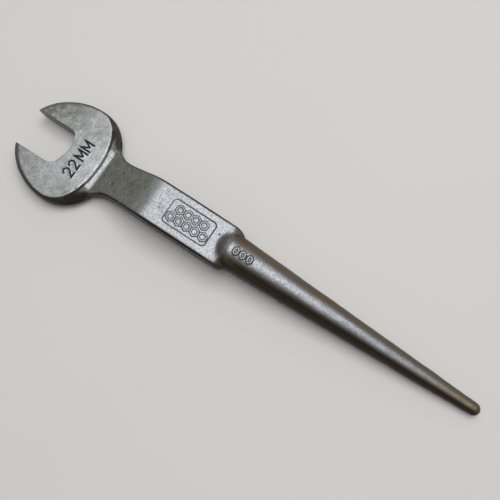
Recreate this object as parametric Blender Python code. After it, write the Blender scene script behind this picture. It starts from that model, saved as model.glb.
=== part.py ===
"""Podger spanner: an open-ended spanner with a tapered tail for lining up bolt holes.

The whole tool is one drop-forged piece of steel. Its head holds an open jaw, its neck cranks up
from the head to a flat shank with a sunk panel, and the shank ends in a round tapered tail.
It lies as it rests on a table, on the rear edge of its head and the tip of its tail.

The shape is drawn with X along the tool, from the jaw to the tail, and Z up from the head's
mid-plane. X is measured from just behind the jaw's throat. All sizes are in metres.
"""

from math import atan, copysign, cos, pi, sin, sqrt, tan

import bmesh
import bpy
from mathutils import Matrix, Vector

NODE = "podger_spanner_forging"

# Jaw: two flats and a throat between them
JAW_WIDTH = 0.0223
JAW_OFFSET = -0.0012  # the jaw's centre line is this far from the shank's, towards -Y
THROAT_X = -0.0006  # where the two throat lines would meet, on the tool's centre line
THROAT_SLOPE = 17 * pi / 180
THROAT_RADIUS = 0.016
CORNER_RADIUS_UPPER = 0.004  # at the +Y flat
CORNER_RADIUS_LOWER = 0.006  # at the -Y flat
JAW_CLEARANCE = 0.012  # how far the cutter passes the tips and both faces

# Head: its outline at the mid-plane, and the smaller outline of its two faces
HEAD_X = 0.0015  # the widest point
HEAD_Y = -0.0005
HEAD_WIDTH = 0.0588
HEAD_FRONT = 0.0333  # from the widest point
HEAD_REAR = 0.0240
HEAD_THICKNESS = 0.010
FACE_WIDTH = 0.0550
FACE_FRONT = 0.0302
FACE_REAR = 0.0157
FACE_REAR_POWER = 2.2  # over 2, so the face's rear is fuller than an ellipse
SIDE_DRAFT_POWER = 2.5  # how the rim curves in from the mid-plane to the faces
REAR_DRAFT_POWER = 1.0
HEAD_SEGMENTS = 96
HEAD_LEVELS = (-1, -0.8, -0.5, 0, 0.5, 0.8, 1)

# Neck and shank
LAND_DROP = 0.0008  # the neck starts this far inside both faces of the head
CRANK = 0.013  # from the head's mid-plane up to the shank's
NECK_START_X = 0.004
NECK_COVER = 0.006  # inside the head, the neck stays this far within the rim
NECK_NARROWEST_X = 0.034
NECK_WIDTH = 0.0225
FLARE_WIDTH = 0.0110  # how much wider the neck is on each side, FLARE_REACH from its narrowest point
FLARE_REACH = 0.018
FLARE_POWER = 2.6
SHANK_WIDTH = 0.0245
SHANK_THICKNESS = 0.012
SHANK_FULL_WIDTH_X = 0.057
SHANK_END_X = 0.1065
SHANK_CORNER = 0.002
SHANK_END_CORNER = 0.006  # rounding of the shank's end, seen from above
# Each crank line: where it starts to climb, where it stops, and how long it eases in and out
UPPER_CRANK = (0.0204, 0.0570, 0.0025, 0.0100)
LOWER_CRANK = (0.0180, 0.0600, 0.0080, 0.0100)

# Tail: a taper that starts inside the shank, and swells to its full size over the shoulder
SHOULDER_START_X = 0.092
SHOULDER_END_X = 0.1032
SHOULDER_START_RADIUS = 0.0050
TAPER_RADIUS = 0.00984
TAIL_X = 0.2526
TAIL_RADIUS = 0.0034
TAIL_DOME = 0.0036  # length of the rounded end
TAPER_SEGMENTS = 32
DOME_STEPS = 5

# Sunk panel in the shank's upper face
PANEL_X = 0.0782
PANEL_LENGTH = 0.0265
PANEL_WIDTH = 0.0146
PANEL_CORNER = 0.0025
PANEL_DEPTH = 0.0003
PANEL_CLEARANCE = 0.001  # how far the cutter stands above the face

CORNER_STEPS = 5
STEEL_COLOUR = (0.23, 0.23, 0.225, 1.0)


def clear_scene():
    for old in list(bpy.data.objects):
        bpy.data.objects.remove(old, do_unlink=True)


def steel():
    """Satin forged steel."""
    material = bpy.data.materials.new("forged_steel")
    material.use_nodes = True
    shader = material.node_tree.nodes["Principled BSDF"]
    shader.inputs["Base Color"].default_value = STEEL_COLOUR
    shader.inputs["Metallic"].default_value = 0.9
    shader.inputs["Roughness"].default_value = 0.42
    return material


def eased(fraction):
    """0 to 1, level at both ends."""
    fraction = min(max(fraction, 0.0), 1.0)
    return fraction * fraction * (3 - 2 * fraction)


def climb(x, rise, start, end, ease_in, ease_out):
    """Height at x of a ramp that bends into and out of a straight slope."""
    slope = rise / (end - start - ease_in / 2 - ease_out / 2)
    if x <= start:
        return 0.0
    if x < start + ease_in:
        return slope * (x - start) ** 2 / (2 * ease_in)
    if x < end - ease_out:
        return slope * (x - start - ease_in / 2)
    if x < end:
        return rise - slope * (end - x) ** 2 / (2 * ease_out)
    return rise


def shank_top(x):
    land = HEAD_THICKNESS / 2 - LAND_DROP
    return land + climb(x, CRANK + SHANK_THICKNESS / 2 - land, *UPPER_CRANK)


def shank_bottom(x):
    sole = LAND_DROP - HEAD_THICKNESS / 2
    return sole + climb(x, CRANK - SHANK_THICKNESS / 2 - sole, *LOWER_CRANK)


def shank_half_width(x):
    widening = eased((x - NECK_NARROWEST_X) / (SHANK_FULL_WIDTH_X - NECK_NARROWEST_X))
    half_width = NECK_WIDTH / 2 + (SHANK_WIDTH - NECK_WIDTH) / 2 * widening
    if x < NECK_NARROWEST_X:
        half_width += FLARE_WIDTH * ((NECK_NARROWEST_X - x) / FLARE_REACH) ** FLARE_POWER
    rounding = (x - SHANK_END_X) / SHANK_END_CORNER + 1
    if rounding > 0:
        half_width -= SHANK_END_CORNER * (1 - sqrt(max(0.0, 1 - rounding**2)))
    return half_width


def spread(start, end, count):
    """Evenly spaced values, without the last."""
    return [start + (end - start) * step / count for step in range(count)]


def taper_radius(x):
    if x < SHOULDER_END_X:
        swell = eased((x - SHOULDER_START_X) / (SHOULDER_END_X - SHOULDER_START_X))
        return SHOULDER_START_RADIUS + (TAPER_RADIUS - SHOULDER_START_RADIUS) * swell
    taper = (x - SHOULDER_END_X) / (TAIL_X - TAIL_DOME - SHOULDER_END_X)
    return TAPER_RADIUS + (TAIL_RADIUS - TAPER_RADIUS) * taper


def rounded_rectangle(half_width, half_height, corner):
    """Points round a rectangle with rounded corners, counter-clockwise from its right side."""
    corner = min(corner, half_width, half_height)
    points = []
    for quadrant, (side, level) in enumerate(((1, 1), (-1, 1), (-1, -1), (1, -1))):
        for step in range(CORNER_STEPS + 1):
            angle = (quadrant + step / CORNER_STEPS) * pi / 2
            points.append(
                (
                    side * (half_width - corner) + corner * cos(angle),
                    level * (half_height - corner) + corner * sin(angle),
                )
            )
    return points


def filleted(corners):
    """A closed outline from (x, y, radius) corners, with an arc at each corner that has a radius."""
    outline = []
    for index, (x, y, radius) in enumerate(corners):
        corner = Vector((x, y))
        if not radius:
            outline.append(corner)
            continue
        before = (Vector(corners[index - 1][:2]) - corner).normalized()
        after = (Vector(corners[(index + 1) % len(corners)][:2]) - corner).normalized()
        half = before.angle(after) / 2
        centre = corner + (before + after).normalized() * radius / sin(half)
        start = corner + before * radius / tan(half) - centre
        end = corner + after * radius / tan(half) - centre
        turn = start.angle_signed(end)
        steps = max(4, round(abs(turn) * radius / 0.0006))
        for step in range(steps + 1):
            outline.append(centre + Matrix.Rotation(-turn * step / steps, 2) @ start)
    return outline


def loft(name, rings, hide=False):
    """One closed solid through rings of points, with a flat cap on the first and the last."""
    mesh = bmesh.new()
    rows = [[mesh.verts.new(point) for point in ring] for ring in rings]
    for row, following in zip(rows, rows[1:]):
        for index in range(len(row)):
            other = (index + 1) % len(row)
            mesh.faces.new((row[index], row[other], following[other], following[index]))
    mesh.faces.new(reversed(rows[0]))
    mesh.faces.new(rows[-1])
    bmesh.ops.recalc_face_normals(mesh, faces=mesh.faces)
    data = bpy.data.meshes.new(name)
    mesh.to_mesh(data)
    mesh.free()
    solid = bpy.data.objects.new(name, data)
    bpy.context.scene.collection.objects.link(solid)
    if hide:
        solid.hide_render = True
        solid.display_type = "WIRE"
    return solid


def head_ring(level):
    """The head's outline at a level from -1 to 1, as an ellipse in front and a fuller one behind."""
    side_draft = abs(level) ** SIDE_DRAFT_POWER
    front = HEAD_FRONT + (FACE_FRONT - HEAD_FRONT) * side_draft
    half_width = (HEAD_WIDTH + (FACE_WIDTH - HEAD_WIDTH) * side_draft) / 2
    rear = HEAD_REAR + (FACE_REAR - HEAD_REAR) * abs(level) ** REAR_DRAFT_POWER
    fullness = 2 / (2 + (FACE_REAR_POWER - 2) * abs(level))
    ring = []
    for step in range(HEAD_SEGMENTS):
        angle = 2 * pi * step / HEAD_SEGMENTS
        along, across = cos(angle), sin(angle)
        if along > 0:
            along = rear * along**fullness
            across = copysign(abs(across) ** fullness, across)
        else:
            along *= front
        ring.append((HEAD_X + along, HEAD_Y + half_width * across, level * HEAD_THICKNESS / 2))
    return ring


def head():
    """The head before its jaw is cut, with a drafted, rounded rim."""
    return loft(NODE, [head_ring(level) for level in HEAD_LEVELS])


def shank():
    """The neck and the flat shank, from inside the head to the shoulder."""
    widest = HEAD_WIDTH / 2 - NECK_COVER
    stations = spread(NECK_START_X, UPPER_CRANK[0], 8)
    stations += spread(UPPER_CRANK[0], LOWER_CRANK[1], 16)
    stations.append(LOWER_CRANK[1])
    for step in range(CORNER_STEPS + 1):
        rounding = sin(pi / 2 * step / CORNER_STEPS)
        stations.append(SHANK_END_X - SHANK_END_CORNER * (1 - rounding))
    rings = []
    for x in stations:
        bottom, top = shank_bottom(x), shank_top(x)
        half_width = min(shank_half_width(x), widest)
        section = rounded_rectangle(half_width, (top - bottom) / 2, SHANK_CORNER)
        rings.append([(x, y, (bottom + top) / 2 + z) for y, z in section])
    return loft("shank", rings, hide=True)


def tail():
    """The round taper, with its swelling shoulder and its domed end."""
    profile = [(x, taper_radius(x)) for x in spread(SHOULDER_START_X, SHOULDER_END_X, 8)]
    profile.append((SHOULDER_END_X, TAPER_RADIUS))
    for step in range(DOME_STEPS):
        angle = pi / 2 * step / DOME_STEPS
        x = TAIL_X - TAIL_DOME * (1 - sin(angle))
        profile.append((x, TAIL_RADIUS * cos(angle)))
    rings = []
    for x, radius in profile:
        ring = []
        for step in range(TAPER_SEGMENTS):
            angle = 2 * pi * step / TAPER_SEGMENTS
            ring.append((x, radius * cos(angle), CRANK + radius * sin(angle)))
        rings.append(ring)
    return loft("tail", rings, hide=True)


def panel_cutter():
    """The shallow rounded panel that is sunk into the shank's upper face."""
    face = CRANK + SHANK_THICKNESS / 2
    outline = rounded_rectangle(PANEL_LENGTH / 2, PANEL_WIDTH / 2, PANEL_CORNER)
    levels = (face - PANEL_DEPTH, face + PANEL_CLEARANCE)
    return loft("panel_cutter", [[(PANEL_X + x, y, z) for x, y in outline] for z in levels], hide=True)


def jaw_cutter():
    """What is cut out of the head: the gap between the flats, closed by a two-line throat."""
    upper = JAW_OFFSET + JAW_WIDTH / 2
    lower = JAW_OFFSET - JAW_WIDTH / 2
    front = -HEAD_FRONT - JAW_CLEARANCE
    outline = filleted(
        [
            (front, lower, 0),
            (THROAT_X + lower * tan(THROAT_SLOPE), lower, CORNER_RADIUS_LOWER),
            (THROAT_X, 0, THROAT_RADIUS),
            (THROAT_X - upper * tan(THROAT_SLOPE), upper, CORNER_RADIUS_UPPER),
            (front, upper, 0),
        ]
    )
    depth = HEAD_THICKNESS / 2 + JAW_CLEARANCE
    return loft("jaw_cutter", [[(x, y, z) for x, y in outline] for z in (-depth, depth)], hide=True)


def combine(solid, other, operation):
    modifier = solid.modifiers.new(f"{operation.lower()}_{other.name}", "BOOLEAN")
    modifier.operation = operation
    modifier.solver = "EXACT"
    modifier.object = other


def resting_pitch():
    """The angle that brings the tail's tip down to the plane under the rear edge of the head."""
    reach = TAIL_X - TAIL_DOME - (HEAD_X + FACE_REAR)
    drop = CRANK - TAIL_RADIUS + HEAD_THICKNESS / 2
    return atan(drop / reach)


def lay_on_table(tool, helpers):
    """Tips the tool onto its two resting points, centred over the origin and standing on Z = 0."""
    rest = bpy.data.objects.new("rest", None)
    bpy.context.scene.collection.objects.link(rest)
    for solid in [tool, *helpers]:
        solid.parent = rest
    rest.rotation_euler = (0, resting_pitch(), 0)
    bpy.context.view_layer.update()
    evaluated = tool.evaluated_get(bpy.context.evaluated_depsgraph_get())
    points = [evaluated.matrix_world @ vertex.co for vertex in evaluated.data.vertices]
    low = Vector([min(point[axis] for point in points) for axis in range(3)])
    high = Vector([max(point[axis] for point in points) for axis in range(3)])
    middle = (low + high) / 2
    rest.location = (-middle.x, -middle.y, -low.z)


def main():
    clear_scene()
    spanner = head()
    spanner.data.materials.append(steel())
    added = [shank(), tail()]
    for solid in added:
        combine(spanner, solid, "UNION")
    cutters = [jaw_cutter(), panel_cutter()]
    for solid in cutters:
        combine(spanner, solid, "DIFFERENCE")
    spanner.data.shade_smooth()
    spanner.data.set_sharp_from_angle(angle=30 * pi / 180)
    lay_on_table(spanner, added + cutters)


main()
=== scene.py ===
"""Looks of the podger spanner: one drop-forged piece of steel on a plain pale table.

Shapes are drawn in millimetres in the tool's own frame: X along the tool from just behind the
jaw's throat, Z up from the head's mid-plane. `seat` turns that frame into the row's, in metres.
"""

import math

import bmesh
import bpy
import numpy as np
from mathutils import Matrix, Vector


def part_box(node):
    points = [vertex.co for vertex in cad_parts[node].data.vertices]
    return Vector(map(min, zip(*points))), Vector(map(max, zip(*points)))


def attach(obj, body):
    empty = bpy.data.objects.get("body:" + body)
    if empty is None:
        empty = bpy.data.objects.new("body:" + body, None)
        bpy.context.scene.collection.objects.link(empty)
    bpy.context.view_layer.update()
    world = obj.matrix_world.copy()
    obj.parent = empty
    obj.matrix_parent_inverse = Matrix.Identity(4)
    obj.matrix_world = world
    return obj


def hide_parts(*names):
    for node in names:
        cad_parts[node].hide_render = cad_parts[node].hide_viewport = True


NODE = "podger_spanner_forging"
MM = 0.001
SHARP_ANGLE = math.radians(38)  # edges that turn by more than this are drawn sharp

# Jaw
JAW_WIDTH = 22.3
JAW_OFFSET = -1.2  # the jaw's middle, off the shank's centre line
THROAT_X = -0.6
THROAT_SLOPE = math.radians(17)
THROAT_RADIUS = 16.0
CORNER_RADIUS_UPPER = 4.0
CORNER_RADIUS_LOWER = 6.0
JAW_CLEARANCE = 12.0  # the cutter goes on this far past the head
JAW_CHAMFER = 0.25

# Head: its outline at the mid-plane, and the smaller outline of its two faces
HEAD_X = 1.5
HEAD_Y = -0.5
HEAD_WIDTH = 58.8
HEAD_FRONT = 33.3
HEAD_REAR = 24.0
HEAD_THICKNESS = 10.0
FACE_WIDTH = 55.0
FACE_FRONT = 30.2
FACE_REAR = 15.7
FACE_REAR_POWER = 2.2
SIDE_DRAFT_POWER = 2.5
REAR_DRAFT_POWER = 1.0
ARRIS = 0.3  # width of the small rounding between the rim and each face
HEAD_SEGMENTS = 320
# Heights of the head's rings, as shares of its half thickness
HEAD_LEVELS = (0.0, 0.07, 0.13, 0.2, 0.34, 0.5, 0.65, 0.78, 0.88, 0.94, 0.975)

# Neck and shank
LAND_TOP = 4.35  # height of the land behind the face's rear rim, at LAND_X
LAND_X = 15.0
LAND_FALL = 0.05  # slope of the land down to the crease
CREASE_X = 20.9
LAND_HALF_WIDTH = 12.8  # beyond this the flare rounds off towards its sides
FLARE_ROUNDING = 0.4  # height of that rounding for its width
CRANK = 13.0
NECK_START_X = 4.0  # the neck starts inside the head
NECK_COVER = 6.0  # the flare stays this far inside the head's sides
NECK_NARROWEST_X = 34.0
NECK_WIDTH = 22.5
FLARE_WIDTH = 11.0  # the neck is wider by this much on each side, FLARE_REACH before its narrowest
FLARE_REACH = 18.0
FLARE_POWER = 2.6
SHANK_WIDTH = 24.5
SHANK_THICKNESS = 12.0
SHANK_FULL_WIDTH_X = 57.0
SHANK_END_X = 106.5
SHANK_CORNER = 1.8
SHANK_DRAFT = 0.35  # each side leans in by this much between the parting line and the corner
SHANK_END_CORNER = 6.0
# Each crank line: where it starts to climb, where it stops, and how long it eases in and out
UPPER_CRANK = (CREASE_X, 57.0, 0.7, 10.0)
LOWER_CRANK = (18.0, 60.0, 8.0, 10.0)

# Tail
SHOULDER_START_X = 95.5
SHOULDER_END_X = 103.0
SHOULDER_SWEEP = 0.02  # the shoulder starts this much later per square millimetre off its crown
SHOULDER_CROWN_Y = 1.0  # where across the tool the shoulder starts first
SHOULDER_QUICKNESS = 0.8  # under 1, so it climbs soonest at its start
SHOULDER_BLEND = 2.4  # width of the fillet between the shank's flats and the taper
SHOULDER_BLEND_FADE = 4.0  # length behind the shank over which the fillet dies out
SHOULDER_LEAD = 4.0  # rings are resampled from this far ahead of the shoulder
TAPER_RADIUS = 9.84
EAR_START_X = 98.4
EAR_LAG = 0.9  # the -Y side's corner starts to fall this much later
EAR_LAG_Y = 5.0  # the lag sets in between this far on the +Y side and as far on the -Y side
EAR_DROP = 3.2  # how far the shank's upper corners fall towards its end
TAIL_X = 252.6
TAIL_RADIUS = 3.4
TAIL_DOME = 3.6
TAIL_DOME_RINGS = 9
UNIFORM_X = (102.0, 116.0)  # over this stretch the rings' points spread out evenly

# Spacing of the mesh
FILLET_STEP = 0.25
FINE_STATION = 0.7
FINE_TAPER = 6.0  # length of the taper that has the fine spacing
TAPER_STATION = 1.2
SIDE_POINTS = 8
SIDE_CROWDING = 1.4  # over 1, so a side's points lie closer at the parting line
CORNER_POINTS = 9
CORNER_RISE_LIMIT = 0.8  # the most of the half height that a corner's rounding may take
FLAT_POINTS = 25
FACE_STEP = 1.0
CUT_SLACK = 0.002  # a cut this close to a face's edge is left out
CUT_MERGE = 1e-4
MARK_STEP = 0.22
FACE_TOLERANCE = 0.01  # how close to a head's face a point counts as on it
SHANK_TOP_TOLERANCE = 0.001
STAMP_MARGIN = 1.0  # each mark's fine mesh reaches this far past it
PANEL_MARGIN = (0.9, 1.1)
CODE_MARGIN = (2.4, 3.4)
DENT_MARGIN = 2.0

# Sunk panel with its raised hexagon outlines
PANEL_X = 78.2
PANEL_LENGTH = 26.5
PANEL_WIDTH = 14.6
PANEL_CORNER = 2.5
PANEL_DEPTH = 0.3
HEXAGON_WIDTH = 4.5
HEXAGON_HEIGHT = 5.1
HEXAGON_PITCH = 4.9
HEXAGON_ROWS = ((2.75, 4), (-2.75, 5))  # (row's place across the tool, hexagons in it)
HEXAGON_LINE = 0.75
HEXAGON_HEIGHT_UP = 0.28

# Size stamp on the head's face
STAMP_TOP_X = 2.7
STAMP_BASE_X = 9.5
STAMP_START_Y = -12.8
STAMP_END_Y = 10.2
STAMP_LINE = 0.85
STAMP_DEPTH = 0.4
STAMP_LIP = 0.05

# Three small raised marks on the start of the taper
CODE_X = (106.8, 110.7, 114.9)
CODE_WIDTH = 3.1
CODE_HEIGHT = 4.7
CODE_LINE = 0.8
CODE_UP = 0.32

# A small round dent on the neck
DENT_X = 30.4
DENT_Y = -4.0
DENT_RADIUS = 1.2
DENT_DEPTH = 0.35

# Pits: (x, y, radius, depth, dirt)
PITS = (
    (94.6, 3.2, 0.55, 0.14, 0.85),
    (32.3, 4.6, 0.8, 0.08, 0.8),
    (22.0, 1.7, 0.8, 0.06, 0.5),
    (40.3, 0.9, 2.4, 0.03, 0.4),
    (60.3, 0.0, 0.8, 0.05, 0.42),
    (60.9, -1.8, 0.7, 0.05, 0.42),
    (14.6, -15.9, 0.55, 0.25, 0.6),
)

# The forged skin. Each unevenness is (height, wavelength, seed, stretch along the tool).
RIPPLE_WAVES = 28
SKIN_RIPPLES = ((0.035, 14, 1, 1.5), (0.018, 5, 2, 1.5), (0.006, 1.6, 3, 1.0))
FACE_RIPPLE = (0.012, 16, 4, 1.0)
FLASH_RIPPLE = (9, 5)  # wavelength and seed of the flash line's own unevenness
FLASH_HEIGHT = 0.14
FLASH_HALF_WIDTH = 0.45
FLASH_END = (32.0, 20.0)  # it starts to fade this far before the tip, over this length

# Where the colours lie, and how strong they are. The far side's scale and painted shade is a list of (x,
# share).
# Far is the +Y side, which faces away from the camera and towards the lamp. Near is the -Y side, which
# faces away from the lamp and is painted darker as painted shade.
LAND_HALF_GROUND = 11.0  # the land is bright this far out
# The film is painted lighter than the steel. On the neck and the shoulder's facet, which face away from
# the lamp, it is partly painted light.
FILM_AND_PAINTED_LIGHT_END_X = 48.5
FILM_AND_PAINTED_LIGHT_LEAN = 0.12  # the film ends this much later per millimetre across
FILM_AND_PAINTED_LIGHT_FADE = 7.0
FACET_FILM_AND_PAINTED_LIGHT = 0.9
FAR_SIDE_SCALE_AND_SHADE = ((8, 0.97), (15, 0.6), (24, 0.9), (96, 0.9), (120, 0.4))
NEAR_HEAD_SCALE_AND_SHADE = 0.95
NEAR_HEAD_X = 25.0
# Shares of painted shade in the scale's dark colour: the falling corners, the jaw's walls, the taper's
# -Y side and the land's rounded ends.
EAR_SHADE_FAR = 0.2
EAR_SHADE_NEAR = 0.5
JAW_WALL_SHADE = 0.35
LOW_TAPER_SHADE = 0.75
WEDGE_SHADE = 0.75
TAIL_BROWN = 0.75
TIP_BROWN = 0.2
SHOULDER_BROWN = 0.3

# Colours, and the height of the skin's finest bumps in metres
STEEL = (0.25, 0.258, 0.273, 1)
DULL_STEEL = (0.165, 0.17, 0.18, 1)
FACE_STEEL = (0.315, 0.328, 0.333, 1)
DULL_FACE = (0.17, 0.178, 0.177, 1)
STAIN = (0.105, 0.108, 0.089, 1)
# The film's two colours: a greenish tint, made lighter than the steel as painted light.
FILM_AND_PAINTED_LIGHT = (0.375, 0.388, 0.343, 1)
DULL_FILM_AND_PAINTED_LIGHT = (0.185, 0.193, 0.167, 1)
# Dark scale, also used for painted shade.
SCALE_AND_SHADE = (0.034, 0.025, 0.017, 1)
BROWN = (0.205, 0.155, 0.096, 1)
# Dirt, also used for painted shade in the crease at the head's rear wall and along the panel's rim.
DIRT_AND_SHADE = (0.018, 0.016, 0.014, 1)
TABLE = (0.63, 0.62, 0.605, 1)
TABLE_PALE = (0.66, 0.65, 0.635, 1)
BUMP_DISTANCE = 0.00003

# Camera and light, in metres in the row's frame
CAMERA_PLACE = (0.04665, -0.0537, 0.34298)
CAMERA_TARGET = (-0.00126, 0.00879, 0.0)
CAMERA_ROLL = math.radians(4.52)
CAMERA_LENS = 47.16
LIGHT_PLACE = (0.0, 0.26, 1.2)
LIGHT_SIZE = (0.83, 1.1)
LIGHT_WATTS = 11.6
ROOM_DARK = 0.11  # the room's brightness low down on the -Y side
ROOM_BRIGHT = 0.42  # and overhead
ROOM_BRIGHT_SIDE = (-0.25, 0.55, 0.8)
ROOM_TURN = (-0.3, 0.9)  # how far towards the bright side the room starts and stops brightening
ROOM_TINT = (1.0, 0.99, 0.97, 1)
TABLE_SIZE = 8
TABLE_ROUGHNESS = 0.75


def eased(fraction):
    """0 to 1, level at both ends."""
    fraction = np.clip(fraction, 0.0, 1.0)
    return fraction * fraction * (3 - 2 * fraction)


def rising(value, start, length):
    """0 up to start, 1 from a length further on, eased in between."""
    return eased((value - start) / length)


def falling(value, start, length):
    return 1 - rising(value, start, length)


def band(distance, place, width):
    """A soft stripe of 1 at place, about as wide as width on each side."""
    return np.exp(-(((distance - place) / width) ** 2))


def smooth_max(a, b, blend):
    """The larger of a and b, with a fillet where they meet."""
    overlap = np.maximum(blend - np.abs(a - b), 0.0) / max(blend, 1e-6)
    return np.maximum(a, b) + overlap * overlap * blend / 4


def climb(x, rise, start, end, ease_in, ease_out):
    """Height at x of a ramp that bends into and out of a straight slope."""
    slope = rise / (end - start - ease_in / 2 - ease_out / 2)
    if x <= start:
        return 0.0
    if x < start + ease_in:
        return slope * (x - start) ** 2 / (2 * ease_in)
    if x < end - ease_out:
        return slope * (x - start - ease_in / 2)
    if x < end:
        return rise - slope * (end - x) ** 2 / (2 * ease_out)
    return rise


def shank_top(x):
    crease = LAND_TOP - LAND_FALL * (CREASE_X - LAND_X)
    land = LAND_TOP - LAND_FALL * (min(max(x, LAND_X), CREASE_X) - LAND_X)
    return land + climb(x, CRANK + SHANK_THICKNESS / 2 - crease, *UPPER_CRANK)


def shank_bottom(x):
    sole = -LAND_TOP
    return sole + climb(x, CRANK - SHANK_THICKNESS / 2 - sole, *LOWER_CRANK)


def shank_half_width(x):
    widening = rising(x, NECK_NARROWEST_X, SHANK_FULL_WIDTH_X - NECK_NARROWEST_X)
    half_width = NECK_WIDTH / 2 + (SHANK_WIDTH - NECK_WIDTH) / 2 * widening
    if x < NECK_NARROWEST_X:
        half_width += FLARE_WIDTH * ((NECK_NARROWEST_X - x) / FLARE_REACH) ** FLARE_POWER
    rounding = (x - SHANK_END_X) / SHANK_END_CORNER + 1
    if rounding > 0:
        half_width -= SHANK_END_CORNER * (1 - math.sqrt(max(0.0, 1 - min(rounding, 1) ** 2)))
    return min(half_width, HEAD_WIDTH / 2 - NECK_COVER)


def taper_radius(x):
    taper = max(0.0, x - SHOULDER_END_X) / (TAIL_X - TAIL_DOME - SHOULDER_END_X)
    return TAPER_RADIUS + (TAIL_RADIUS - TAPER_RADIUS) * taper


def mesh_object(name, points, faces):
    data = bpy.data.meshes.new(name)
    data.from_pydata([tuple(point) for point in points], [], faces)
    data.update()
    made = bpy.data.objects.new(name, data)
    bpy.context.scene.collection.objects.link(made)
    return made


def loft(name, rings):
    """One closed solid through rings of points, with a flat cap on the first and the last."""
    count = len(rings[0])
    faces = []
    for row in range(len(rings) - 1):
        for index in range(count):
            other = (index + 1) % count
            a, b = row * count, (row + 1) * count
            faces.append((a + index, a + other, b + other, b + index))
    faces.append(tuple(range(count))[::-1])
    faces.append(tuple(range((len(rings) - 1) * count, len(rings) * count)))
    made = mesh_object(name, np.concatenate(rings), faces)
    shape = bmesh.new()
    shape.from_mesh(made.data)
    bmesh.ops.recalc_face_normals(shape, faces=shape.faces)
    shape.to_mesh(made.data)
    shape.free()
    return made


def head_ring(level, inset=0.0):
    """The head's outline at a level from -1 to 1, as an ellipse in front and a fuller one behind."""
    side_draft = abs(level) ** SIDE_DRAFT_POWER
    front = HEAD_FRONT + (FACE_FRONT - HEAD_FRONT) * side_draft - inset
    half_width = (HEAD_WIDTH + (FACE_WIDTH - HEAD_WIDTH) * side_draft) / 2 - inset
    rear = HEAD_REAR + (FACE_REAR - HEAD_REAR) * abs(level) ** REAR_DRAFT_POWER - inset
    fullness = 2 / (2 + (FACE_REAR_POWER - 2) * abs(level))
    angle = 2 * math.pi * np.arange(HEAD_SEGMENTS) / HEAD_SEGMENTS
    along, across = np.cos(angle), np.sin(angle)
    behind = along > 0
    across = np.where(behind, np.sign(across) * np.abs(across) ** fullness, across)
    along = np.where(behind, rear * np.abs(along) ** fullness, front * along)
    height = np.full(HEAD_SEGMENTS, level * HEAD_THICKNESS / 2)
    return np.column_stack([HEAD_X + along, HEAD_Y + half_width * across, height])


def head():
    """The head before its jaw is cut."""
    rings = []
    for side in (-1, 1):
        half = [head_ring(side * level) for level in HEAD_LEVELS]
        half.append(head_ring(side, ARRIS))
        rings = half[:0:-1] + [half[0]] if side < 0 else rings + half[1:]
    return loft("head", rings)


def section(half_width, half_height):
    """Points round the shank's section as (y, z), counter-clockwise from its +Y side."""
    reach = max(SHANK_CORNER, half_width - SHANK_DRAFT - LAND_HALF_WIDTH)
    rise = SHANK_CORNER + (reach - SHANK_CORNER) * FLARE_ROUNDING
    rise = min(half_height * CORNER_RISE_LIMIT, rise)
    wall = half_height - rise
    z = wall * np.linspace(0, 1, SIDE_POINTS, endpoint=False) ** SIDE_CROWDING
    side = np.column_stack([half_width - SHANK_DRAFT * z / wall, z])
    angle = np.linspace(0, math.pi / 2, CORNER_POINTS, endpoint=False)
    flat_start = half_width - SHANK_DRAFT - reach
    bend = np.column_stack([flat_start + reach * np.cos(angle), wall + rise * np.sin(angle)])
    y = np.linspace(flat_start, 0, FLAT_POINTS)
    flat = np.column_stack([y, np.full(FLAT_POINTS, half_height)])
    quarter = np.concatenate([side, bend, flat])
    upper = np.concatenate([quarter, quarter[-2::-1] * (-1, 1)])
    return np.concatenate([upper, upper[-2:0:-1] * (1, -1)])


def shank_ring(x):
    """One ring of the shank or the taper at x, and the swept shoulder between the two."""
    bottom, top = shank_bottom(x), shank_top(x)
    half_height = (top - bottom) / 2
    ring = section(shank_half_width(x), half_height)
    start = EAR_START_X + EAR_LAG * falling(ring[:, 0], -EAR_LAG_Y, 2 * EAR_LAG_Y)
    ring[:, 1] *= 1 - EAR_DROP / half_height * rising(x, start, SHANK_END_X - start)
    centre = (bottom + top) / 2
    if x > SHOULDER_START_X - SHOULDER_LEAD:
        angle = np.unwrap(np.arctan2(ring[:, 1], ring[:, 0]))
        radius = np.hypot(ring[:, 0], ring[:, 1])
        even = 2 * math.pi * np.arange(len(ring)) / len(ring)
        share = rising(x, UNIFORM_X[0], UNIFORM_X[1] - UNIFORM_X[0])
        turned = angle * (1 - share) + even * share
        flat = np.interp(turned, np.append(angle, 2 * math.pi), np.append(radius, radius[0]))
        if x > SHANK_END_X:
            flat = flat * 0
        blend = SHOULDER_BLEND * falling(x, SHANK_END_X, SHOULDER_BLEND_FADE)
        swollen = smooth_max(flat, taper_radius(x), blend)
        sweep = SHOULDER_SWEEP * (swollen * np.cos(turned) - SHOULDER_CROWN_Y) ** 2
        swell = np.clip((x - SHOULDER_START_X - sweep) / (SHOULDER_END_X - SHOULDER_START_X), 0, 1)
        swell = eased(swell**SHOULDER_QUICKNESS)
        if x > SHANK_END_X:
            swell = 1.0
        radius = flat + (swollen - flat) * swell
        ring = np.column_stack([np.cos(turned), np.sin(turned)]) * radius[:, None]
    return np.column_stack([np.full(len(ring), x), ring[:, 0], centre + ring[:, 1]])


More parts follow.
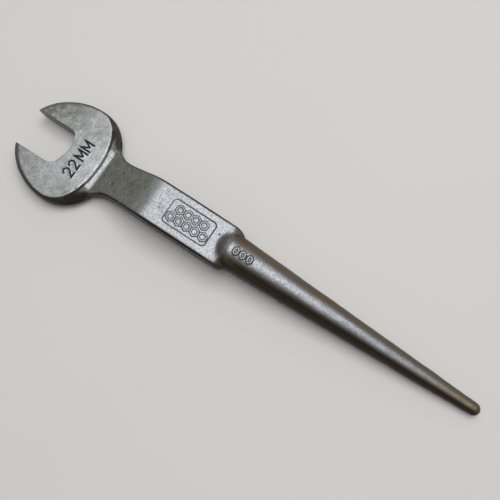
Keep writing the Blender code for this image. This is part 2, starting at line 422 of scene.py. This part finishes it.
def shank_and_tail():
    """The neck, the flat shank, its shoulder and the taper, down to the domed tip."""
    stations = list(np.arange(NECK_START_X, CREASE_X, FINE_STATION))
    stations += list(np.arange(CREASE_X, SHANK_END_X + FINE_TAPER, FINE_STATION))
    stations += list(np.arange(stations[-1] + TAPER_STATION, TAIL_X - TAIL_DOME, TAPER_STATION))
    rings = [shank_ring(x) for x in stations]
    for step in range(TAIL_DOME_RINGS):
        angle = math.pi / 2 * step / TAIL_DOME_RINGS
        ring = shank_ring(TAIL_X - TAIL_DOME)
        scale = math.cos(angle)
        ring[:, 0] = TAIL_X - TAIL_DOME * (1 - math.sin(angle))
        ring[:, 1] *= scale
        ring[:, 2] = CRANK + (ring[:, 2] - CRANK) * scale
        rings.append(ring)
    return loft("shank_and_tail", rings)


def filleted(corners):
    """A closed outline from (x, y, radius) corners, with an arc at each corner that has a radius."""
    outline = []
    for index, (x, y, radius) in enumerate(corners):
        corner = Vector((x, y))
        if not radius:
            outline.append(corner)
            continue
        before = (Vector(corners[index - 1][:2]) - corner).normalized()
        after = (Vector(corners[(index + 1) % len(corners)][:2]) - corner).normalized()
        half = before.angle(after) / 2
        centre = corner + (before + after).normalized() * radius / math.sin(half)
        start = corner + before * radius / math.tan(half) - centre
        turn = start.angle_signed(corner + after * radius / math.tan(half) - centre)
        steps = max(4, round(abs(turn) * radius / FILLET_STEP))
        for step in range(steps + 1):
            outline.append(centre + Matrix.Rotation(-turn * step / steps, 2) @ start)
    return np.array([tuple(point) for point in outline])


def jaw_outline():
    """The jaw as cut out of the head, and on past the head's front."""
    upper = JAW_OFFSET + JAW_WIDTH / 2
    lower = JAW_OFFSET - JAW_WIDTH / 2
    lean = math.tan(THROAT_SLOPE)
    front = -HEAD_FRONT - JAW_CLEARANCE
    return filleted(
        [
            (front, lower, 0),
            (THROAT_X + lower * lean, lower, CORNER_RADIUS_LOWER),
            (THROAT_X, 0, THROAT_RADIUS),
            (THROAT_X - upper * lean, upper, CORNER_RADIUS_UPPER),
            (front, upper, 0),
        ]
    )


def jaw_cutter():
    """The jaw's cutter, which flares at both faces to leave a small chamfer."""
    half = HEAD_THICKNESS / 2
    rings = []
    for height, margin in ((-half - JAW_CLEARANCE, JAW_CHAMFER), (-half, JAW_CHAMFER),
                           (JAW_CHAMFER - half, 0), (half - JAW_CHAMFER, 0),
                           (half, JAW_CHAMFER), (half + JAW_CLEARANCE, JAW_CHAMFER)):
        outline = jaw_outline()
        if margin:
            outline = offset_outline(outline, margin)
        rings.append(np.column_stack([outline, np.full(len(outline), height)]))
    return loft("jaw_cutter", rings)


def offset_outline(outline, margin):
    """A clockwise or counter-clockwise closed outline moved outwards by margin."""
    ahead = np.roll(outline, -1, axis=0) - outline
    behind = outline - np.roll(outline, 1, axis=0)
    area = np.sum(outline[:, 0] * np.roll(outline[:, 1], -1)
                  - outline[:, 1] * np.roll(outline[:, 0], -1))
    normals = []
    for edge in (behind, ahead):
        edge = edge / np.linalg.norm(edge, axis=1)[:, None]
        normals.append(np.column_stack([edge[:, 1], -edge[:, 0]]) * np.sign(area))
    mean = normals[0] + normals[1]
    mean /= np.sum(mean * normals[0], axis=1)[:, None]
    return outline + mean * margin


def combine(solid, other, operation):
    modifier = solid.modifiers.new(operation.lower(), "BOOLEAN")
    modifier.operation = operation
    modifier.solver = "MANIFOLD"
    modifier.object = other


def apply_modifiers(solid):
    graph = bpy.context.evaluated_depsgraph_get()
    data = bpy.data.meshes.new_from_object(solid.evaluated_get(graph))
    solid.modifiers.clear()
    solid.data = data


def faces_in(shape, low, high, test):
    """The faces whose middle lies in a rectangle and that pass test."""
    found = []
    for face in shape.faces:
        middle = face.calc_center_median()
        if low[0] < middle.x < high[0] and low[1] < middle.y < high[1] and test(face, middle):
            found.append(face)
    return found


def cut_grid(shape, faces, low, high, step):
    """Cuts faces along lines step apart, from low to high in X and Y."""

    def span(face, axis):
        places = [vertex.co[axis] for vertex in face.verts]
        return min(places), max(places), face

    for axis in (0, 1):
        spans = [span(face, axis) for face in faces]
        normal = Vector((axis == 0, axis == 1, 0))
        count = round((high[axis] - low[axis]) / step)
        for line in range(count + 1):
            place = low[axis] + (high[axis] - low[axis]) * line / count
            before, after = place - CUT_SLACK, place + CUT_SLACK
            crossed = [item for item in spans if item[0] < before and item[1] > after]
            if not crossed:
                continue
            spans = [item for item in spans if item[0] >= before or item[1] <= after]
            geometry = set()
            for item in crossed:
                geometry.add(item[2])
                geometry.update(item[2].edges)
                geometry.update(item[2].verts)
            cut = bmesh.ops.bisect_plane(shape, geom=list(geometry), plane_co=normal * place,
                                         plane_no=normal, dist=CUT_MERGE)
            spans += [span(item, axis) for item in cut["geom"] if isinstance(item, bmesh.types.BMFace)]
        faces = [item[2] for item in spans]


def forge():
    """The whole tool's mesh, before its marks."""
    tool = head()
    rest = shank_and_tail()
    cutter = jaw_cutter()
    combine(tool, rest, "UNION")
    combine(tool, cutter, "DIFFERENCE")
    apply_modifiers(tool)
    for helper in (rest, cutter):
        bpy.data.objects.remove(helper)
    return tool


def ripple(points, wavelength, seed, stretch=1.0):
    """Smooth noise of about unit size at each point; stretch lengthens it along the tool."""
    draw = np.random.default_rng(seed)
    total = np.zeros(len(points))
    for _ in range(RIPPLE_WAVES):
        direction = draw.normal(size=3)
        direction *= draw.uniform(0.6, 1.4) / np.linalg.norm(direction)
        direction[0] /= stretch
        total += np.sin(points @ direction * 2 * math.pi / wavelength + draw.uniform(0, 2 * math.pi))
    return total / math.sqrt(RIPPLE_WAVES / 2)


def stroke_distance(x, y, strokes):
    """Distance from each point to the nearest of some polylines."""
    nearest = np.full(len(x), 1e6)
    for stroke in strokes:
        for (ax, ay), (bx, by) in zip(stroke, stroke[1:]):
            dx, dy = bx - ax, by - ay
            along = np.clip(((x - ax) * dx + (y - ay) * dy) / (dx * dx + dy * dy), 0, 1)
            nearest = np.minimum(nearest, np.hypot(x - ax - along * dx, y - ay - along * dy))
    return nearest


def arc(centre_x, centre_y, radius_x, radius_y, start, end, steps=12):
    angles = [math.radians(start + (end - start) * step / steps) for step in range(steps + 1)]
    return [(centre_x + radius_x * math.cos(a), centre_y + radius_y * math.sin(a)) for a in angles]


def figure_two(width):
    """A plain 2, one unit tall."""
    half = width / 2
    hook = arc(half, 1 - half * 0.98, half, half * 0.98, 165, -40)
    return [hook + [(0.0, 0.0), (width, 0.0)]]


def letter_m(width):
    return [[(0.0, 0.0), (0.0, 1.0), (width / 2, 0.25), (width, 1.0), (width, 0.0)]]


def stamp_strokes():
    """The size stamp: it reads across the head, with the tops of its figures towards the jaw."""
    height = STAMP_BASE_X - STAMP_TOP_X - STAMP_LINE
    strokes = []
    place = STAMP_START_Y + STAMP_LINE / 2
    for figure, width, gap in ((figure_two, 0.56, 1.7), (figure_two, 0.56, 2.6),
                               (letter_m, 0.74, 1.7), (letter_m, 0.74, 0.0)):
        for stroke in figure(width):
            strokes.append(
                [(STAMP_BASE_X - STAMP_LINE / 2 - v * height, place + u * height) for u, v in stroke]
            )
        place += width * height + gap
    return strokes


def hexagon(x, y, width, height):
    """A hexagon that stands on a point, as one closed stroke."""
    points = []
    for corner in range(7):
        angle = math.radians(90 + 60 * corner)
        corner_x = x + width / 2 * math.cos(angle) / math.cos(math.pi / 6)
        points.append((corner_x, y + height / 2 * math.sin(angle)))
    return points


def panel_strokes():
    strokes = []
    for y, count in HEXAGON_ROWS:
        for index in range(count):
            x = PANEL_X + (index - (count - 1) / 2) * HEXAGON_PITCH
            strokes.append(hexagon(x, y, HEXAGON_WIDTH - HEXAGON_LINE, HEXAGON_HEIGHT - HEXAGON_LINE))
    return strokes


def code_strokes():
    return [hexagon(x, 0.0, CODE_WIDTH - CODE_LINE, CODE_HEIGHT - CODE_LINE) for x in CODE_X]


def panel_edge_distance(x, y):
    """Signed distance to the sunk panel's edge, negative inside it."""
    over_x = np.abs(x - PANEL_X) - PANEL_LENGTH / 2 + PANEL_CORNER
    over_y = np.abs(y) - PANEL_WIDTH / 2 + PANEL_CORNER
    outside = np.hypot(np.maximum(over_x, 0), np.maximum(over_y, 0))
    return outside + np.minimum(np.maximum(over_x, over_y), 0) - PANEL_CORNER


def refine(tool):
    """Gives the flat faces an even mesh, and a fine one where there are marks."""
    shape = bmesh.new()
    shape.from_mesh(tool.data)
    half = HEAD_THICKNESS / 2
    low, high = (-HEAD_FRONT, HEAD_Y - HEAD_WIDTH / 2), (HEAD_REAR, HEAD_Y + HEAD_WIDTH / 2)
    for side in (1, -1):
        faces = faces_in(shape, low, high,
                         lambda face, middle: abs(middle.z - side * half) < FACE_TOLERANCE)
        cut_grid(shape, faces, low, high, FACE_STEP)

    low = (STAMP_TOP_X - STAMP_MARGIN, STAMP_START_Y - STAMP_MARGIN)
    high = (STAMP_BASE_X + STAMP_MARGIN, STAMP_END_Y + STAMP_MARGIN)
    faces = faces_in(shape, low, high, lambda face, middle: abs(middle.z - half) < FACE_TOLERANCE)
    cut_grid(shape, faces, low, high, MARK_STEP)

    top = CRANK + SHANK_THICKNESS / 2
    reach_x, reach_y = PANEL_LENGTH / 2 + PANEL_MARGIN[0], PANEL_WIDTH / 2 + PANEL_MARGIN[1]
    low, high = (PANEL_X - reach_x, -reach_y), (PANEL_X + reach_x, reach_y)
    faces = faces_in(shape, low, high,
                     lambda face, middle: abs(middle.z - top) < SHANK_TOP_TOLERANCE)
    whole = bmesh.ops.dissolve_faces(shape, faces=faces, use_verts=True)["region"]
    cut_grid(shape, whole, low, high, MARK_STEP)

    code = ((CODE_X[0] - CODE_MARGIN[0], -CODE_MARGIN[1]),
            (CODE_X[-1] + CODE_MARGIN[0], CODE_MARGIN[1]))
    dent = ((DENT_X - DENT_MARGIN, DENT_Y - DENT_MARGIN),
            (DENT_X + DENT_MARGIN, DENT_Y + DENT_MARGIN))
    for low, high in (code, dent):
        faces = faces_in(shape, low, high,
                         lambda face, middle: face.normal.z > 0.7 and middle.z > half)
        cut_grid(shape, faces, low, high, MARK_STEP)
    bmesh.ops.triangulate(shape, faces=[face for face in shape.faces if len(face.verts) > 4])
    shape.to_mesh(tool.data)
    shape.free()


def read_points(data, name):
    """One of a mesh's three-number properties, a row for each point."""
    values = np.empty(len(data.vertices) * 3)
    data.vertices.foreach_get(name, values)
    return values.reshape(-1, 3)


class Skin:
    """The tool's surface points, how far each one moves, and the masks that the marks share."""

    def __init__(self, data):
        self.points = read_points(data, "co")
        self.normals = read_points(data, "normal")
        x, y, z = self.points.T
        self.x, self.y, self.z = x, y, z
        self.lift = np.zeros(len(x))
        self.dirt_and_shade = np.zeros(len(x))
        half = HEAD_THICKNESS / 2
        up = self.normals[:, 2]
        self.in_head = (x < HEAD_REAR) & (z < half + 0.05)
        face = self.in_head & (np.abs(np.abs(z) - half) < FACE_TOLERANCE)
        land = self.in_head & (x > 12) & (x < CREASE_X - 0.2) & (up > 0.97) & (z > 3.9) & ~face
        land = land * falling(np.abs(y), LAND_HALF_GROUND, 2)
        self.ground = np.maximum(face.astype(float), land)
        outline = [tuple(point) for point in jaw_outline()]
        on_wall = (stroke_distance(x, y, [outline]) < 0.02) & (np.abs(z) < half)
        self.jaw_wall = on_wall.astype(float)
        self.rough = (1 - self.ground) * (1 - self.jaw_wall)
        steep = falling(np.abs(up), 0.53, 0.35)
        shank_side = rising(x, 24, 4) * falling(x, 92, 6) * rising(np.abs(self.normals[:, 1]), 0.28, 0.4)
        self.side = np.maximum(steep, shank_side) * self.rough
        self.on_shank = (up > 0.5) & (z > CRANK)
        self.shoulder_slope = self.on_shank * rising(z, CRANK + SHANK_THICKNESS / 2 + 0.05, 0.6)

    # Keeps the largest darkening so far: dirt, and painted shade in the crease and on the side away from
    # the lamp.
    def darken(self, amount):
        self.dirt_and_shade = np.maximum(self.dirt_and_shade, amount)


def roughen(skin):
    """The slow unevenness of the skin, and the trimmed flash along the parting plane."""
    for height, wavelength, seed, stretch in SKIN_RIPPLES:
        skin.lift += skin.rough * height * ripple(skin.points, wavelength, seed, stretch)
    height, wavelength, seed, stretch = FACE_RIPPLE
    skin.lift += skin.ground * height * ripple(skin.points, wavelength, seed, stretch)

    middle = np.array([(shank_top(x) + shank_bottom(x)) / 2 for x in skin.x])
    middle = np.where(skin.x > SHOULDER_START_X, CRANK, middle)
    middle = np.where(skin.in_head & (skin.x < HEAD_REAR - 1) & (skin.z < 4), 0.0, middle)
    flash = skin.side * falling(np.abs(skin.z - middle), FLASH_HALF_WIDTH, 0.35)
    flash *= eased(0.8 + 0.4 * ripple(skin.points, *FLASH_RIPPLE))
    flash *= falling(skin.x, TAIL_X - FLASH_END[0], FLASH_END[1])
    skin.lift += FLASH_HEIGHT * flash


def cut_stamp(skin):
    face_up = skin.ground * (skin.z > HEAD_THICKNESS / 2 - FACE_TOLERANCE)
    distance = stroke_distance(skin.x, skin.y, stamp_strokes())
    groove = falling(distance, STAMP_LINE * 0.22, STAMP_LINE * 0.36)
    lip = band(distance, STAMP_LINE * 0.75, 0.25)
    skin.lift += face_up * (STAMP_LIP * lip - STAMP_DEPTH * groove)
    skin.darken(face_up * eased(groove * 1.6))


def cut_panel(skin):
    """The sunk panel with its raised hexagons, darker at their feet, and a dark rim: soiled all round,
    with painted shade added on the side away from the lamp.
    """
    edge = panel_edge_distance(skin.x, skin.y)
    distance = stroke_distance(skin.x, skin.y, panel_strokes())
    raised = falling(distance, HEXAGON_LINE * 0.3, 0.45)
    sunk = skin.on_shank * falling(edge, -0.45, 0.6)
    skin.lift += sunk * (HEXAGON_HEIGHT_UP * raised - PANEL_DEPTH)
    foot = band(distance, HEXAGON_LINE * 0.3 + 0.42, 0.2) * (edge < -0.6)
    rim = band(edge, -0.35, 0.28) * (edge < 2)
    # The rim is darker on the side away from the lamp: painted shade on top of the dirt.
    lit_side = eased((PANEL_X - skin.x + 1.2 * skin.y + 4) / 20)
    skin.darken(skin.on_shank * (0.5 * foot + rim * (0.45 + 0.25 * (1 - lit_side))))


def raise_code(skin):
    on_taper = (skin.normals[:, 2] > 0.4) & (skin.x > SHOULDER_END_X - 2)
    distance = stroke_distance(skin.x, skin.y, code_strokes())
    skin.lift += CODE_UP * on_taper * falling(distance, CODE_LINE * 0.3, 0.4)
    skin.darken(0.7 * on_taper * band(distance, CODE_LINE * 0.3 + 0.5, 0.22))


def wear(skin):
    """The dent, the pits, and painted shade in the crease where the land meets the head's rear wall."""
    half = HEAD_THICKNESS / 2
    faces_up = skin.normals[:, 2] > 0.5
    dent = np.hypot(skin.x - DENT_X, skin.y - DENT_Y) / DENT_RADIUS
    skin.lift -= DENT_DEPTH * faces_up * (skin.z > half) * np.exp(-(dent**4))
    skin.darken(0.6 * (skin.z > half) * band(dent, 0.7, 0.45))
    for pit_x, pit_y, radius, depth, dirt_and_shade in PITS:
        hollow = faces_up * band(np.hypot(skin.x - pit_x, skin.y - pit_y), 0, radius)
        skin.lift -= depth * hollow
        skin.darken(dirt_and_shade * hollow)

    # A dark line in the crease along the foot of the head's rear wall: painted shade.
    wall_foot = head_ring(LAND_TOP / half)[:, :2]
    outline = [tuple(point) for point in np.vstack([wall_foot, wall_foot[:1]])]
    foot = band(stroke_distance(skin.x, skin.y, [outline]), 0, 0.4)
    skin.darken(0.5 * foot * (skin.x > 8) * (np.abs(skin.z - LAND_TOP + 0.15) < 0.4))


def stain_mask(skin):
    """Olive stain on the head's faces: the upper jaw most, then the lower rear and the tips."""
    x, y = skin.x, skin.y
    upper_jaw = (0.29 + 0.84 * falling(x, -22, 24)) * rising(y, 3, 11)
    lower_rear = (0.24 + 0.52 * rising(x, 2, 10)) * rising(-y, 10, 12)
    tips = 0.58 * rising(-x, 12, 14)
    return skin.ground * np.maximum(np.maximum(upper_jaw, lower_rear), tips)


def film_and_painted_light_mask(skin):
    """Greenish film on the neck, and a little on the shoulder's facet. Its colour is lighter than the
    steel's, as painted light where these slopes face away from the lamp.
    """
    x = skin.x
    neck = rising(x, CREASE_X - 0.2, 0.6) * falling(x - FILM_AND_PAINTED_LIGHT_LEAN * skin.y, FILM_AND_PAINTED_LIGHT_END_X, FILM_AND_PAINTED_LIGHT_FADE)
    facet = FACET_FILM_AND_PAINTED_LIGHT * skin.shoulder_slope * rising(x, 99, 2.5) * falling(x, 101, 2)
    return np.clip(np.maximum(neck, facet), 0, 1) * (1 - skin.ground)


def scale_and_shade_mask(skin):
    """Brown-black scale and painted shade: the sides most, darker on the -Y side away from the lamp,
    then painted shade on the taper's -Y side, the corners that fall away, the jaw's walls and the land's
    rounded ends.
    """
    x, y = skin.x, skin.y
    across = skin.normals[:, 1]
    far_side = np.interp(x, *zip(*FAR_SIDE_SCALE_AND_SHADE))
    near_side = np.where(x < NEAR_HEAD_X, NEAR_HEAD_SCALE_AND_SHADE, 1.0)
    ears = rising(x, EAR_START_X - 0.6, 3) * falling(x, SHANK_END_X, 2) * rising(np.abs(y), 6, 2)
    taper = rising(x, 103, 9) * rising(-across, 0.28 - 0.04 * rising(x, 125, 50), 0.4)
    wedge = (1 - skin.ground) * (x > 12) * falling(x, CREASE_X - 1, 2.5) * rising(np.abs(y), 10.5, 1.5)
    return np.max([
        skin.side * np.where(across > 0, far_side, near_side),
        ears * np.where(y > 0, EAR_SHADE_FAR, EAR_SHADE_NEAR),
        skin.jaw_wall * JAW_WALL_SHADE,
        taper * LOW_TAPER_SHADE,
        wedge * WEDGE_SHADE,
    ], axis=0)


def brown_mask(skin):
    """Brown oxide: towards the tip, on the taper's sides and on the shoulder's start."""
    x = skin.x
    tail = TAIL_BROWN * rising(x, 185, 70) + TIP_BROWN * rising(x, 215, 25)
    sides = rising(x, 98, 6) * rising(np.abs(skin.normals[:, 1]), 0.2, 0.5)
    shoulder = SHOULDER_BROWN * skin.shoulder_slope * falling(x, 98, 4)
    return np.max([tail, sides, shoulder], axis=0) * (1 - skin.ground)


def mark(tool):
    """Moves the surface for the marks and the forging's unevenness, and paints the masks."""
    skin = Skin(tool.data)
    for work in (roughen, cut_stamp, cut_panel, raise_code, wear):
        work(skin)
    moved = skin.points + skin.normals * skin.lift[:, None]
    tool.data.vertices.foreach_set("co", moved.ravel())
    masks = {
        "ground": skin.ground,
        "dirt_and_shade": np.clip(skin.dirt_and_shade, 0, 1),
        "film_and_painted_light": film_and_painted_light_mask(skin),
        # scale, with painted shade on the sides away from the lamp, the falling corners, the jaw's walls
        # and the land's ends
        "scale": scale_and_shade_mask(skin),
        "tint": brown_mask(skin),
        "stain": stain_mask(skin),
        "pitted": rising(skin.x, 98, 8),
    }
    for name, values in masks.items():
        attribute = tool.data.attributes.new(name, "FLOAT", "POINT")
        attribute.data.foreach_set("value", values.astype(np.float32))
    tool.data.update()


def seat(tool, box):
    """Moves the tool from its own frame in millimetres to the row's frame in metres."""
    reach = TAIL_X - TAIL_DOME - (HEAD_X + FACE_REAR)
    pitch = math.atan((CRANK - TAIL_RADIUS + HEAD_THICKNESS / 2) / reach)
    tool.data.transform(Matrix.Scale(MM, 4) @ Matrix.Rotation(pitch, 4, "Y"))
    points = read_points(tool.data, "co")
    tip = points[:, 0].max()
    heel = points[:, 2].min()
    tool.data.transform(Matrix.Translation((box[1].x - tip, -HEAD_Y * MM, box[0].z - heel)))


class Nodes:
    """Short calls for a material's nodes. Its sockets are named as Blender names them."""

    def __init__(self, material):
        material.use_nodes = True
        self.tree = material.node_tree
        self.shader = self.tree.nodes["Principled BSDF"]
        coordinates = self.tree.nodes.new("ShaderNodeTexCoord")
        self.place = coordinates.outputs["Object"]

    def link(self, source, target):
        if isinstance(source, (int, float, tuple)):
            target.default_value = source
        else:
            self.tree.links.new(source, target)

    def attribute(self, name):
        node = self.tree.nodes.new("ShaderNodeAttribute")
        node.attribute_name = name
        return node.outputs["Fac"]

    def math(self, operation, a, b=0.0, clamp=False):
        node = self.tree.nodes.new("ShaderNodeMath")
        node.operation = operation
        node.use_clamp = clamp
        self.link(a, node.inputs[0])
        self.link(b, node.inputs[1])
        return node.outputs[0]

    def weighted(self, *terms):
        """The sum of (value, weight) pairs."""
        total = None
        for value, weight in terms:
            term = self.math("MULTIPLY", value, weight)
            total = term if total is None else self.math("ADD", total, term)
        return total

    def mapped(self, scale, turn=0.0):
        node = self.tree.nodes.new("ShaderNodeMapping")
        node.inputs["Scale"].default_value = scale
        node.inputs["Rotation"].default_value = (0, 0, turn)
        self.link(self.place, node.inputs["Vector"])
        return node.outputs[0]

    def noise(self, scale, detail=3.0, roughness=0.5, stretch=(1, 1, 1), turn=0.0):
        node = self.tree.nodes.new("ShaderNodeTexNoise")
        node.inputs["Scale"].default_value = scale
        node.inputs["Detail"].default_value = detail
        node.inputs["Roughness"].default_value = roughness
        self.link(self.mapped(stretch, turn), node.inputs["Vector"])
        return node.outputs["Fac"]

    def ramp(self, value, low, high, from_value=0.0, to_value=1.0):
        node = self.tree.nodes.new("ShaderNodeMapRange")
        node.interpolation_type = "SMOOTHSTEP"
        self.link(value, node.inputs["Value"])
        limits = {"From Min": low, "From Max": high, "To Min": from_value, "To Max": to_value}
        for name, number in limits.items():
            node.inputs[name].default_value = number
        return node.outputs[0]

    def mix(self, share, first, second):
        """A colour mix: its node keeps the two colours in its sockets 6 and 7, and the mix in 2."""
        node = self.tree.nodes.new("ShaderNodeMix")
        node.data_type = "RGBA"
        self.link(share, node.inputs[0])
        self.link(first, node.inputs[6])
        self.link(second, node.inputs[7])
        return node.outputs[2]

    def bump(self, height, distance):
        node = self.tree.nodes.new("ShaderNodeBump")
        node.inputs["Strength"].default_value = 1.0
        node.inputs["Distance"].default_value = distance
        self.link(height, node.inputs["Height"])
        return node.outputs[0]


def forged_steel():
    """Shot-blasted forged steel with brown-black scale, linished on the head's faces. Its colours also
    carry painted shade and painted light.
    """
    material = bpy.data.materials.new("forged_steel")
    nodes = Nodes(material)
    ground = nodes.attribute("ground")
    film_and_painted_light = nodes.attribute("film_and_painted_light")
    tint = nodes.attribute("tint")
    dirt_and_shade = nodes.attribute("dirt_and_shade")

    cloud = nodes.noise(scale=110, detail=5, roughness=0.62)
    patch = nodes.noise(scale=260, detail=3, roughness=0.6)
    mottle = nodes.noise(scale=1250, detail=4, roughness=0.65)
    grain = nodes.noise(scale=1900, detail=3, roughness=0.6)
    streak = nodes.noise(scale=700, detail=4, roughness=0.6, stretch=(0.12, 1, 1))
    scratch = nodes.noise(scale=2000, detail=4, roughness=0.7, stretch=(1, 0.10, 1),
                          turn=math.radians(6))
    scratch_two = nodes.noise(scale=1100, detail=4, roughness=0.7, stretch=(1, 0.14, 1),
                              turn=math.radians(-9))

    plain = nodes.mix(nodes.ramp(mottle, 0.38, 0.66), STEEL, DULL_STEEL)
    speckle = nodes.weighted((mottle, 0.45), (scratch, 0.35), (patch, 0.2))
    face = nodes.mix(nodes.ramp(speckle, 0.40, 0.60), FACE_STEEL, DULL_FACE)
    blotch = nodes.math("MULTIPLY", nodes.math("ADD", cloud, patch), 0.5)
    blotches = nodes.ramp(blotch, 0.38, 0.58, 0.3, 1.05)
    stained = nodes.math("MULTIPLY", nodes.attribute("stain"), blotches, clamp=True)
    face = nodes.mix(stained, face, STAIN)
    tinted = nodes.math("MULTIPLY", tint, nodes.ramp(cloud, 0.25, 0.7, 0.7, 1.0))
    colour = nodes.mix(tinted, plain, BROWN)
    # The film's lighter colours are partly painted light on the neck and the shoulder's facet.
    film_and_painted_light_colour = nodes.mix(nodes.ramp(speckle, 0.40, 0.60), FILM_AND_PAINTED_LIGHT, DULL_FILM_AND_PAINTED_LIGHT)
    edge = nodes.math("ADD", film_and_painted_light, nodes.math("MULTIPLY", nodes.math("SUBTRACT", patch, 0.5), 1.2))
    film_and_painted_light_share = nodes.math("MULTIPLY", nodes.ramp(edge, 0.25, 0.75), nodes.ramp(film_and_painted_light, 0.0, 0.15))
    film_and_painted_light_share = nodes.math("MULTIPLY", film_and_painted_light_share, nodes.ramp(streak, 0.25, 0.7, 1.0, 0.85))
    colour = nodes.mix(film_and_painted_light_share, colour, film_and_painted_light_colour)
    # The scale's dark colour, which is also painted shade.
    colour = nodes.mix(nodes.attribute("scale"), colour, SCALE_AND_SHADE)
    colour = nodes.mix(ground, colour, face)
    # Dirt, and painted shade in the crease and on the panel rim.
    colour = nodes.mix(nodes.ramp(dirt_and_shade, 0.1, 0.75), colour, DIRT_AND_SHADE)
    nodes.link(colour, nodes.shader.inputs["Base Color"])

    rough = nodes.ramp(mottle, 0.3, 0.7, 0.36, 0.48)
    rough_face = nodes.ramp(scratch_two, 0.3, 0.7, 0.34, 0.46)
    forged = nodes.math("SUBTRACT", 1.0, ground)
    rough_mix = nodes.weighted((rough, forged), (rough_face, ground))
    rough_all = nodes.math("ADD", rough_mix, nodes.math("MULTIPLY", dirt_and_shade, 0.4), clamp=True)
    nodes.link(rough_all, nodes.shader.inputs["Roughness"])
    nodes.link(nodes.ramp(dirt_and_shade, 0.2, 0.8, 1.0, 0.2), nodes.shader.inputs["Metallic"])

    height = nodes.math("ADD", nodes.math("MULTIPLY", grain, 0.5), mottle)
    height = nodes.math("MULTIPLY", height, forged)
    coarse = nodes.math("ADD", nodes.math("MULTIPLY", nodes.attribute("pitted"), 1.6), 1.3)
    height = nodes.math("MULTIPLY", height, coarse)
    lines = nodes.math("MULTIPLY", nodes.math("ADD", scratch, scratch_two), ground)
    height = nodes.math("ADD", height, nodes.math("MULTIPLY", lines, 0.4))
    normal = nodes.bump(height, BUMP_DISTANCE)
    nodes.link(normal, nodes.shader.inputs["Normal"])
    return material


def table():
    """The plain pale table top."""
    material = bpy.data.materials.new("table")
    nodes = Nodes(material)
    soft = nodes.noise(scale=6, detail=2, roughness=0.5)
    nodes.link(nodes.mix(soft, TABLE, TABLE_PALE), nodes.shader.inputs["Base Color"])
    nodes.shader.inputs["Roughness"].default_value = TABLE_ROUGHNESS
    bpy.ops.mesh.primitive_plane_add(size=TABLE_SIZE)
    floor = bpy.context.object
    floor.name = "table_top"
    floor.data.materials.append(material)
    return floor


def light():
    """One broad soft light overhead, on the +Y side, in a dim room."""
    lamp = bpy.data.lights.new("softbox", "AREA")
    lamp.shape = "RECTANGLE"
    lamp.size, lamp.size_y = LIGHT_SIZE
    lamp.energy = LIGHT_WATTS
    softbox = bpy.data.objects.new("softbox", lamp)
    bpy.context.scene.collection.objects.link(softbox)
    softbox.location = LIGHT_PLACE
    softbox.rotation_euler = (-math.atan2(LIGHT_PLACE[1], LIGHT_PLACE[2]), 0, 0)
    world = bpy.data.worlds.new("room")
    world.use_nodes = True
    background = world.node_tree.nodes["Background"]
    background.inputs["Color"].default_value = ROOM_TINT
    coordinates = world.node_tree.nodes.new("ShaderNodeTexCoord")
    facing = world.node_tree.nodes.new("ShaderNodeVectorMath")
    facing.operation = "DOT_PRODUCT"
    facing.inputs[1].default_value = ROOM_BRIGHT_SIDE
    brightness = world.node_tree.nodes.new("ShaderNodeMapRange")
    brightness.interpolation_type = "SMOOTHSTEP"
    brightness.inputs["From Min"].default_value = ROOM_TURN[0]
    brightness.inputs["From Max"].default_value = ROOM_TURN[1]
    brightness.inputs["To Min"].default_value = ROOM_DARK
    brightness.inputs["To Max"].default_value = ROOM_BRIGHT
    world.node_tree.links.new(coordinates.outputs["Generated"], facing.inputs[0])
    world.node_tree.links.new(facing.outputs["Value"], brightness.inputs["Value"])
    world.node_tree.links.new(brightness.outputs[0], background.inputs["Strength"])
    bpy.context.scene.world = world
    bpy.context.scene.view_settings.view_transform = "Standard"


def camera():
    lens = bpy.data.cameras.new("camera")
    lens.lens = CAMERA_LENS
    lens.clip_start = 0.01
    viewer = bpy.data.objects.new("camera", lens)
    bpy.context.scene.collection.objects.link(viewer)
    back = (Vector(CAMERA_PLACE) - Vector(CAMERA_TARGET)).normalized()
    right = Vector((0, 0, 1)).cross(back).normalized()
    upright = Matrix((right, back.cross(right), back)).transposed()
    turned = upright @ Matrix.Rotation(-CAMERA_ROLL, 3, "Z")
    viewer.matrix_world = Matrix.Translation(CAMERA_PLACE) @ turned.to_4x4()
    bpy.context.scene.camera = viewer


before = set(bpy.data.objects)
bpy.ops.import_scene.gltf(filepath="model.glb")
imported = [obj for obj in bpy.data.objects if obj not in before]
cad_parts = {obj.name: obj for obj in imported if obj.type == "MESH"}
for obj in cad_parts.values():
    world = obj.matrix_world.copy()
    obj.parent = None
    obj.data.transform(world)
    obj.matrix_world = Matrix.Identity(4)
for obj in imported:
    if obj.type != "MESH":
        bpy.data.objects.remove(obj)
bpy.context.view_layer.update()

spanner = forge()
spanner.name = "forged_spanner"
refine(spanner)
mark(spanner)
seat(spanner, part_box(NODE))
spanner.data.shade_smooth()
spanner.data.set_sharp_from_angle(angle=SHARP_ANGLE)
spanner.data.materials.clear()
spanner.data.materials.append(forged_steel())
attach(spanner, "root")
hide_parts(NODE)

table()
light()
camera()
